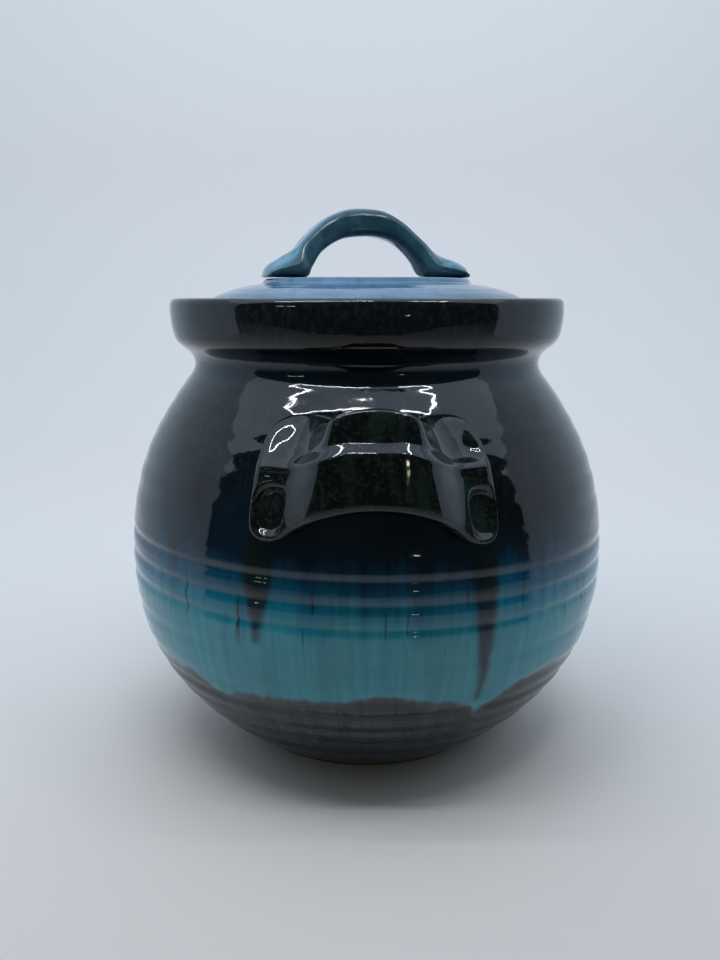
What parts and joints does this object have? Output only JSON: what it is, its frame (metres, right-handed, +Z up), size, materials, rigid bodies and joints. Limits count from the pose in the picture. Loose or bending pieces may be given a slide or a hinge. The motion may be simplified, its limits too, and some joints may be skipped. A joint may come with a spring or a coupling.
{
  "type": "lidded yarn bowl",
  "caption": "Glazed stoneware jar with a round belly, two strap lugs and an inset lid with an arched handle, for keeping yarn.",
  "frame": {"origin": "centre of the foot, on the surface that the jar stands on", "axes": "+Z up along the jar's axis, the front lug towards -Y, the back lug towards +Y"},
  "size_m": [0.223, 0.2468, 0.247],
  "materials": {
    "dark_glaze": "gloss, near-black over blue and turquoise",
    "lug_glaze": "gloss near-black",
    "blue_glaze": "gloss light blue",
    "handle_glaze": "gloss blue, brown where it breaks over edges"
  },
  "bodies": {
    "pot": {"pot_body": "dark_glaze", "front_lug_handle": "lug_glaze", "back_lug_handle": "lug_glaze"},
    "lid": {"lid": "blue_glaze", "lid_handle": "handle_glaze"}
  },
  "joints": [
    {"name": "lid_lift", "type": "slide", "parent": "pot", "child": "lid", "axis": [0, 0, 1], "range_m": [0, 0.14]}
  ]
}
